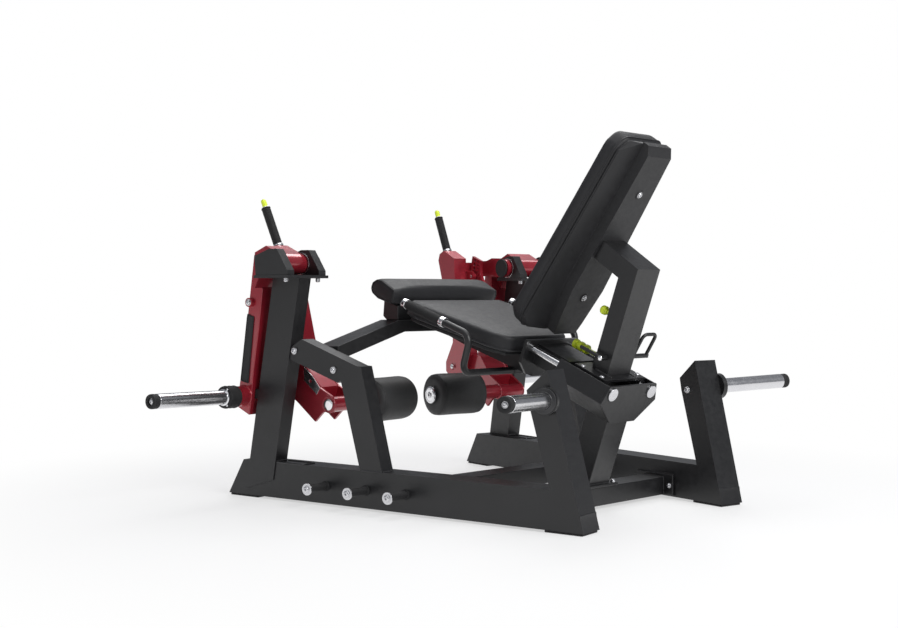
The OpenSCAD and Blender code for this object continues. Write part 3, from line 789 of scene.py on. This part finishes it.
def frame_welds(side, hand):
    rail_top = 132.6
    # (along, z) of the beads that run across the post width
    across = [(-324.5, 136.5), (-195, rail_top + 1), (54, rail_top), (148.5, rail_top),
              (786.5, 131.5)]
    with part(f"{hand}_frame_welds", "weld", "frame") as welds:
        for along, z in across:
            welds.bead([at_mm(side_frame(side), out, along, z)
                        for out in (POST_INNER + 3, POST_OUTER - 3)])
        for out in (POST_OUTER, POST_INNER):
            for start, end in ((-322, -198), (58, 145)):
                welds.bead(side_line(side, out, [(start, rail_top), (end, rail_top)]))
        # flanges of the crossmembers
        for start, end in ((4, 186), (500, 680)):
            welds.bead(side_line(side, 486.0, [(start + 3, 87), (end - 3, 87)]), .0022)


def arm_welds(side, hand):
    # (along, z) edges of the side plates
    front_edge = [(-408, 855), (-437, 657), (-475, 421), (-495, 322)]
    rear_edge = [(-436, 294), (-415, 457), (-391, 596), (-372, 740)]
    # (out, z, bead radius) of the short beads
    short = [(424.6, 712.6, .0022), (424.6, 683.4, .0022),
             (481.2, 712.8, .0024), (481.2, 683.2, .0024)]
    with part(f"{hand}_arm_welds", "weld_red", f"{hand}_arm") as welds:
        for out in (484.5, 602.5):
            for edge, proud in ((front_edge, -.6), (rear_edge, .6)):
                stations = [(along + proud, z) for along, z in edge]
                welds.bead(side_line(side, out, stations), .0019)
        welds.bead_ring(side, 605.6, SLEEVE_AXIS, 37.2, .0027)
        welds.bead_ring(side, 640.8, PIVOT, 30.2, .0022, pitch=.0048)
        for out, z, radius in short:
            welds.bead(side_line(side, out, [(-416, z), (-390, z)]), radius)


def panel_edge(side, hand):
    """thin rubber line round the arm's side panel"""
    # (along, z, radius)
    outline = fillet([(-.440, .650, .010), (-.474, .412, .010), (-.436, .404, .010),
                      (-.408, .640, .010)], 5)
    place = side_frame(side)
    with part(f"{hand}_panel_edge", "rubber", f"{hand}_arm") as edge:
        edge.tube([place @ Vector((.6092, along, z)) for along, z in inset(outline, .0028)],
                  .0016, closed=True, up=axis_of(place, 0))


def arm_screws(side, hand):
    with part(f"{hand}_arm_screws", "zinc", f"{hand}_arm") as screws:
        screws.side_screw(side, 616, -426, 690, size=.0125)
        for k in range(3):
            angle = math.radians(30 + 120 * k)
            spot = shifted(.0322 * math.cos(angle), .0322 * math.sin(angle), .054)
            screws.screw(sleeve_frame(side) @ spot, radius=.0034, height=.0028,
                         socket=.0016, seg=18)


def sleeve_collar(side, hand):
    place = sleeve_frame(side)
    with part(f"{hand}_collar_rings", "rubber", f"{hand}_arm") as rings:
        for height, radius in ((.008, .0394), (.046, .0394), (.027, .0392)):
            half = [(.037, .003), (radius, .0025), (radius + .0007, 0)]
            rings.ribs(place, [height], half, 64)
    with part(f"{hand}_sleeve_ring", "chrome", f"{hand}_arm") as ring:
        ring.turn(place, [(.024, .0545), (.0292, .0545), (.0296, .0555), (.0292, .0585),
                          (.0262, .0600), (.024, .0602)], 64)


def end_cap(name, place, end, body):
    """rim, two ribs and a centre screw on a cap at height end of place"""
    # (radius, height above end)
    rim = [(.0125, -.0012), (.0125, .0010), (.0138, .0018), (.0215, .0018),
           (.0236, .0004), (.0244, -.0022), (.0235, -.0026)]
    with part(name + "_cap_rim", "rubber", body) as cap:
        cap.turn(place, [(radius, end + h) for radius, h in rim], 64)
        cap.ribs(place, [end - .0060, end - .0120], [(.0238, .0016), (.0250, .0008)], 64)
    with part(name + "_cap_screw", "zinc", body) as screw:
        screw.screw(place @ shifted(0, 0, end - .0060), radius=.0085, height=.0045,
                    socket=.0042)


def end_caps(side, hand):
    end_cap(f"{hand}_arm", sleeve_frame(side), .390, f"{hand}_arm")
    end_cap(f"{hand}_storage", storage_frame(side), .314, "frame")


def storage_ring(side, hand):
    profile = [(.0262, .0212), (.0400, .0212), (.0400, .0240), (.0385, .0250),
               (.0282, .0250), (.0268, .0262), (.0254, .0262), (.0254, .0212)]
    with part(f"{hand}_storage_ring", "weld", "frame") as ring:
        ring.turn(storage_frame(side), profile, 64)


def lever_screws(side, hand):
    with part(f"{hand}_lever_screws", "zinc", f"{hand}_lever_unit") as screws:
        screws.side_screw(side, 325, -435, 422, size=.0105, height=.005, facing=-1)
        screws.side_screw(side, 38, *ROLLER_AXIS, size=.0165, height=.007, facing=-1)


for side, hand in SIDES:
    for dress in (frame_screws, frame_welds, arm_welds, panel_edge, arm_screws,
                  sleeve_collar, end_caps, storage_ring, lever_screws):
        dress(side, hand)


# ------------------------------------------------------------------ levers, grips, pegs, feet
def lever_welds(side, hand):
    # (along, z) edges of the lever plates
    upper_edge = [(-424, 476.6), (-301, 466.6), (-222.5, 392.4)]
    lower_edge = [(-399, 401.4), (-320, 351.4), (-238, 349.4)]
    with part(f"{hand}_lever_welds", "weld_red", f"{hand}_lever_unit") as welds:
        for out, along in ((391.8, -478.6), (461.4, -478.4)):
            welds.bead(side_line(side, out, [(along, 803), (along, 843)]), .0026)
        for out in (371, 464):
            for edge in (upper_edge, lower_edge):
                welds.bead(side_line(side, out, edge), .0023)
        for out in (360.4, 474.4):
            welds.bead_ring(side, out, ROLLER_AXIS, 27.6, .0024, count=48, pitch=.005)
        for stations in ([(-439, 812.6), (-387, 812.6)], [(-414, 764.6), (-440.6, 764.8)]):
            welds.bead(side_line(side, 392, stations), .0020)


def axle_parts(side, hand):
    """discs on the roller axle and collars on the lever grip, profiles (radius, height)"""
    inner_washer = [(.0118, .0002), (.0215, .0002), (.0220, .0008), (.0220, .0030),
                    (.0212, .0040), (.0118, .0040)]
    end_disc = [(0, -.001), (.0325, -.001), (.0322, .0008), (.0300, .0022), (.0260, .0028),
                (.0250, .0018), (.0235, .0018), (.0225, .0030), (.0195, .0032), (0, .0032)]
    outer_disc = [(0, -.001), (.0198, -.001), (.0196, .0003), (.0180, .0008),
                  (.0120, .0011), (0, .0011)]
    grip_foot = [(.0158, .0003), (.0185, .0003), (.0190, .0010), (.0190, .0085),
                 (.0184, .0100), (.0158, .0100)]
    grip_neck = [(.0106, .1615), (.0152, .1615), (.0155, .1622), (.0150, .1634),
                 (.0125, .1640), (.0106, .1640)]
    with part(f"{hand}_axle_parts", "chrome", f"{hand}_lever_unit") as parts:
        parts.turn(side_axis(side, 264, *ROLLER_AXIS, facing=-1), inner_washer, 48)
        parts.turn(side_axis(side, 38, *ROLLER_AXIS, facing=-1), end_disc, 64)
        parts.turn(side_axis(side, 480, *ROLLER_AXIS), outer_disc, 48)
        for profile in (grip_foot, grip_neck):
            parts.turn(lever_grip_frame(side), profile, 48)


def lever_grip(side, hand):
    place = lever_grip_frame(side)
    with part(f"{hand}_lever_grip_ribs", "rubber", f"{hand}_lever_unit") as grip:
        grip.ribs(place, [.0155 + k * .0050 for k in range(28)],
                  [(.0150, .0017), (.0160, .0017), (.0168, .0009), (.0170, 0)], 40)
        grip.turn(place, [(.0150, .1555), (.0162, .1555), (.0176, .1572), (.0178, .1590),
                          (.0170, .1608), (.0150, .1612)], 40)
    with part(f"{hand}_button_ring", "lime_plastic", f"{hand}_button") as button:
        button.ribs(place, (.1790, .1835, .1880),
                    [(.0095, .0012), (.0100, .0010), (.0103, 0)], 40)


def side_grip(side, hand):
    """grip beside the seat"""
    place = mirrored_place(side) @ shifted(.280, .057, .688) @ turned(-108.35, "X")
    cap = [(0, -.0035), (.0100, -.0033), (.0150, -.0022), (.0172, .0), (.0178, .0018),
           (.0172, .0030), (.0120, .0031), (.0121, .0002), (0, .0002)]
    with part(f"{hand}_side_grip_ribs", "rubber", "frame") as grip:
        grip.ribs(place, [.0245 + k * .0054 for k in range(31)],
                  [(.0150, .0018), (.0160, .0018), (.0168, .0009), (.0170, 0)], 40)
    with part(f"{hand}_side_grip_caps", "chrome", "frame") as caps:
        caps.turn(place, cap, 48)
        caps.ribs(place, (.0150, .1975, .2105),
                  [(.0168, .0016), (.0176, .0013), (.0180, 0)], 48)


def band_pegs(side, hand):
    rim = [(.0128, .0003), (.0175, .0003), (.0180, .0012), (.0172, .0030), (.0140, .0048),
           (.0128, .0052)]
    with part(f"{hand}_peg_rims", "rubber", "frame") as pegs:
        for along in PEG_ALONG:
            place = side_axis(side, POST_OUTER, along, PEG_Z)
            pegs.turn(place, rim, 40)
            pegs.ribs(place, [.016 + k * .0078 for k in range(9)],
                      [(.0122, .0020), (.0130, .0018), (.0137, 0)], 40)


def foot_treads(side, hand):
    """six upright ribs on both faces of each foot"""
    margin = 10
    block = rounded_box((.0024, .0095, .0086), .0009)
    with part(f"{hand}_foot_treads", "rubber", "frame") as treads:
        for start, end in ((-547, -414), (765, 897)):
            for k in range(6):
                along = start + margin + (end - start - 2 * margin) * k / 5
                for out in (489.2, 582.8):
                    spot = shifted(out / 1000, along / 1000, .006)
                    treads.add(*placed(side_frame(side) @ spot, block))


def brace_welds(side, hand):
    with part(f"{hand}_brace_welds", "weld", "frame") as welds:
        welds.bead(side_line(side, POST_INNER - .5, [(-214, 551), (-98, 513.6)]), .0022)


for side, hand in SIDES:
    for dress in (lever_welds, axle_parts, lever_grip, side_grip, band_pegs, foot_treads,
                  brace_welds):
        dress(side, hand)


# ------------------------------------------------------------------ middle of the machine
def screw_set(name, body, places, radius, height, socket):
    with part(name, "zinc", body) as screws:
        for place in places:
            screws.screw(place, radius, height, socket)


def middle_screws():
    carriage = [INCLINE @ shifted(x, y, .032) for x in (-.094, .094) for y in (-.150, -.066)]
    housing = [PLACE @ shifted(x, y, .091) for x in (-.075, .075) for y in (.606, .706)]
    # the seat's screws go in from below
    seat = [SEAT @ shifted(x, y, -.074) @ turned(180, "X")
            for x in (-.150, .150) for y in (.090, .320)]
    screw_set("carriage_screws", "backrest", carriage, radius=.0072, height=.005, socket=.003)
    screw_set("housing_screws", "frame", housing, radius=.0068, height=.0045, socket=.0029)
    screw_set("seat_screws", "frame", seat, radius=.0072, height=.005, socket=.003)


def middle_welds():
    def straight(welds, place, start, end, radius):
        welds.bead([at_mm(place, *start), at_mm(place, *end)], radius)

    with part("middle_welds", "weld", "frame") as welds:
        for sign in (-1, 1):
            x = sign * 40.4
            straight(welds, PLACE, (x, -11.4, 588), (x, -11.4, 622), .0026)
            x = sign * 55.6
            straight(welds, PLACE, (x, 607, 86), (x, 703, 86), .0030)
        for y in (604.4, 705.8):
            straight(welds, PLACE, (-53, y, 86), (53, y, 86), .0030)
    with part("post_welds", "weld", "backrest") as welds:
        for x in (-60.4, 60.4):
            straight(welds, INCLINE, (x, -124, 32.4), (x, -52, 32.4), .0028)


def buffer_coil():
    """three groups of three rings on the travel buffer"""
    place = INCLINE @ shifted(-.014, -.291, .050) @ turned(-90, "X")
    heights = [start + .0028 + k * .0042 for start in (0, .024, .048) for k in range(3)]
    with part("buffer_coil", "lime_plastic", "backrest") as coil:
        coil.ribs(place, heights, [(.0150, .0014), (.0160, .0013), (.0167, 0)], 48)


def release_ferrules():
    """rounded ends of the release lever"""
    profile = [(0, -.002), (.0080, -.002), (.0086, -.0014), (.0088, .0002),
               (.0080, .0016), (.0050, .0022), (0, .0024)]
    lever = PLACE @ shifted(0, .782, .512)
    with part("release_ferrules", "chrome", "latch_lever") as ferrules:
        for x, facing in ((-.1605, -1), (.0925, 1)):
            ferrules.turn(lever @ axis_frame((x, 0, 0), (facing, 0, 0)), profile, 40)


def knob_flutes():
    """flutes round the pull knob and the disc on its end"""
    place = PLACE @ shifted(.036, .7887, .655) @ turned(70.2, "X")
    flute = rounded_box((.0022, .0026, .0140), .0008)
    with part("knob_flutes", "lime_plastic", "latch_knob") as knob:
        for k in range(16):
            around = Matrix.Rotation(2 * math.pi * k / 16, 4, "Z")
            knob.add(*placed(place @ around @ shifted(.0140, 0, .033), flute))
        knob.turn(place, [(0, .0416), (.0128, .0416), (.0134, .0422), (.0120, .0440),
                          (.0060, .0448), (0, .0450)], 48)


def backrest_shell():
    """parting line, channel rims, button discs and screws of the shell, and its small holes
    drawn as dark discs of painted shade
    """
    depth_axis = axis_of(BACK, 1)
    buttons = [BACK @ axis_frame((0, .140, z), (0, 1, 0)) for z in (.573, .168)]
    # (x, z) along the channel rim
    channel = [(.0560, .030), (.0650, .062), (.0828, .195), (.0622, .728)]
    disc = [(.0095, -.0004), (.0165, -.0004), (.0168, .0006), (.0160, .0018),
            (.0120, .0022), (.0102, .0010), (.0095, .0006)]
    with part("shell_seam", "shell_plastic", "backrest") as seam:
        seam.tube([BACK @ Vector((x, .0650, z)) for x, z in symmetric_outline(SHELL_HALF)],
                  .0026, closed=True, up=depth_axis)
        for sign in (-1, 1):
            seam.tube([BACK @ Vector((sign * x, .0995, z)) for x, z in channel], .0022,
                      up=depth_axis)
        for place in buttons:
            seam.turn(place, disc, 48)
    screw_set("shell_screws", "backrest", buttons, radius=.0088, height=.0060, socket=.0036)

    # (x, z, x of the slope's inner edge, x of its outer edge)
    holes = [(.094, .700, .0665, .116), (.130, .160, .0855, .150), (.112, .062, .072, .152)]
    rise = .030
    # each hole is a flat dark disc on the slope: painted shade for its shadowed inside
    with part("shell_hole_shade", "painted_hole_shade", "backrest") as shade_discs:
        for sign in (-1, 1):
            for x, z, inner, outer in holes:
                depth = .070 + rise * (outer - x) / (outer - inner)
                facing = (sign * rise / (outer - inner), 1, 0)
                shade_discs.turn(BACK @ axis_frame((sign * x, depth, z), facing),
                          [(0, -.002), (.0042, -.002), (.0046, .0002), (.0036, .0006),
                           (0, .0004)], 24)


middle_screws()
middle_welds()
buffer_coil()
release_ferrules()
knob_flutes()
backrest_shell()


# ------------------------------------------------------------------ stage
def floor():
    """white floor that turns to plain white light away from the machine"""
    half = 40
    mesh = bpy.data.meshes.new("floor")
    mesh.from_pydata([(-half, -half, 0), (half, -half, 0), (half, half, 0), (-half, half, 0)],
                     [], [(0, 1, 2, 3)])
    obj = bpy.data.objects.new("floor", mesh)
    scene.collection.objects.link(obj)
    white = bpy.data.materials.new("floor_mat")
    nodes = Nodes(white)
    surface = nodes.add("BsdfPrincipled", {"Base Color": (.95, .95, .95, 1),
                                           "Roughness": .42, "Specular IOR Level": .3})[0]
    glow = nodes.add("Emission", {"Color": (1, 1, 1, 1), "Strength": 1.0})[0]
    position = nodes.add("NewGeometry", {})["Position"]
    distance = nodes.add("VectorMath", {0: position}, operation="LENGTH")["Value"]
    fade = nodes.remap(distance, from_min=.8, from_max=2.3, to_min=.55,
                       interpolation_type="SMOOTHSTEP")
    mixed = nodes.add("MixShader", {0: fade, 1: surface, 2: glow})[0]
    nodes.add("OutputMaterial", {0: mixed})
    mesh.materials.append(white)


def studio_world():
    """dim cool light on the machine, plain white to the camera"""
    world = bpy.data.worlds.new("studio")
    scene.world = world
    nodes = Nodes(world)
    to_camera = nodes.add("LightPath", {})["Is Camera Ray"]
    ambient = nodes.add("Background", {"Color": (.9, .93, 1, 1), "Strength": .25})[0]
    backdrop = nodes.add("Background", {"Color": (1, 1, 1, 1), "Strength": 1.0})[0]
    mixed = nodes.add("MixShader", {0: to_camera, 1: ambient, 2: backdrop})[0]
    nodes.add("OutputWorld", {0: mixed})


def look_at(start, target):
    return (Vector(target) - Vector(start)).to_track_quat("-Z", "Y")


def area_light(name, location, target, size, power):
    light = bpy.data.lights.new(name, "AREA")
    light.shape = "RECTANGLE"
    light.size, light.size_y = size
    light.energy = power
    light.color = (1, 1, 1)
    obj = bpy.data.objects.new(name, light)
    scene.collection.objects.link(obj)
    obj.location = location
    obj.rotation_euler = look_at(location, target).to_euler()


def camera():
    lens = bpy.data.cameras.new("camera")
    obj = bpy.data.objects.new("camera", lens)
    scene.collection.objects.link(obj)
    scene.camera = obj
    lens.lens = 52.98
    lens.sensor_width = 36
    lens.clip_start = .05
    lens.clip_end = 200
    obj.location = (3.4659, 3.4574 + ORIGIN_Y, .7171)
    obj.rotation_mode = "QUATERNION"
    obj.rotation_quaternion = look_at(obj.location, (0, ORIGIN_Y, .6455))


floor()
studio_world()
# the camera looks from +Y, so the key light is behind the sitter and "back" is in front
area_light("key", location=(.4, 4.4, 3.2), target=(0, 0, .5), size=(2.6, 2.0), power=165)
area_light("top", location=(0, 0, 4.2), target=(0, 0, 0), size=(4, 4), power=88)
area_light("left", location=(4.4, -.8, 1.8), target=(0, 0, .6), size=(1.4, 2.8), power=7)
area_light("back", location=(-2.2, -1.6, 4.0), target=(0, 0, .5), size=(2.2, 2.2), power=60)
camera()
scene.view_settings.view_transform = "Standard"
scene.view_settings.look = "None"
